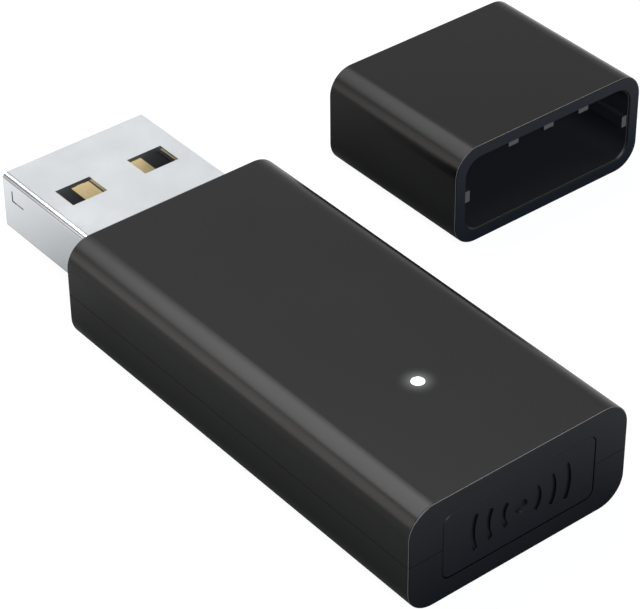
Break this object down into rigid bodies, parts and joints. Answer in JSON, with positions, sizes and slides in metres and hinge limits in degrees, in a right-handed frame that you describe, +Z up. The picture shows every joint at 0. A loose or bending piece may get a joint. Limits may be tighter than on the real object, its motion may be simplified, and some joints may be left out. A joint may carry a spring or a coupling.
{
  "type": "usb wifi adapter",
  "caption": "Slim rounded-bar USB wireless adapter with a metal plug, a status lamp, a push button in its end face, and its plug cap pulled off and lying beside it.",
  "frame": {"origin": "on the plug's axis, in the plane of the casing's front face that the plug stands out of", "axes": "+X from the plug to the button end, so the plug points along -X; +Z up through the lamp; the underside is at z = -3.95 mm and the taken-off cap lies on the +Y side"},
  "size_m": [0.0464, 0.0438, 0.0078],
  "materials": {
    "casing_plastic": "satin black moulding",
    "button_plastic": "satin black moulding",
    "light_pipe_clear": "clear acrylic, lit white from below",
    "plug_steel": "nickel-plated folded sheet, satin",
    "carrier_plastic": "black moulding",
    "contact_gold": "gold-plated spring bronze",
    "board_laminate": "glass-epoxy laminate under green solder mask",
    "chip_epoxy": "black mould compound",
    "shield_steel": "tin-plated sheet",
    "ceramic_part": "fired ceramic with tinned ends",
    "led_lens": "clear epoxy over a white lamp",
    "switch_plastic": "glass-filled moulding",
    "plunger_plastic": "pale moulding",
    "spring_steel": "spring leaf"
  },
  "bodies": {
    "adapter": {"upper_shell": "casing_plastic", "lower_shell": "casing_plastic", "light_pipe": "light_pipe_clear", "usb_plug_shell": "plug_steel", "usb_plug_insulator": "carrier_plastic", "contact_vbus": "contact_gold", "contact_data_minus": "contact_gold", "contact_data_plus": "contact_gold", "contact_ground": "contact_gold", "circuit_board": "board_laminate", "radio_chip": "chip_epoxy", "shield_frame": "shield_steel", "shield_lid": "shield_steel", "reference_crystal": "shield_steel", "radio_filters": "ceramic_part", "voltage_regulator": "chip_epoxy", "power_inductor": "chip_epoxy", "power_capacitors": "ceramic_part", "bypass_capacitors": "ceramic_part", "series_resistors": "ceramic_part", "memory_chip": "chip_epoxy", "status_led": "led_lens", "antenna_left": "ceramic_part", "antenna_right": "ceramic_part", "switch_base": "switch_plastic", "switch_cover": "shield_steel", "switch_dome": "spring_steel"},
    "pair_button": {"pair_button": "button_plastic"},
    "switch_plunger": {"switch_plunger": "plunger_plastic"},
    "cap": {"cap_shell": "casing_plastic"}
  },
  "joints": [
    {"name": "pair_button_press", "type": "slide", "parent": "adapter", "child": "pair_button", "axis": [-1, 0, 0], "range_m": [0, 0.00025], "stiffness_N_per_m": 800},
    {"name": "switch_plunger_press", "type": "slide", "parent": "adapter", "child": "switch_plunger", "axis": [-1, 0, 0], "range_m": [0, 0.00025], "deforming": ["switch_dome"]},
    {"name": "cap_pull", "type": "slide", "parent": "adapter", "child": "cap", "axis": [-1, 0, 0], "range_m": [0, 0.0206]}
  ],
  "couplings": [
    {"joint": "switch_plunger_press", "follows": "pair_button_press", "ratio": 1}
  ]
}
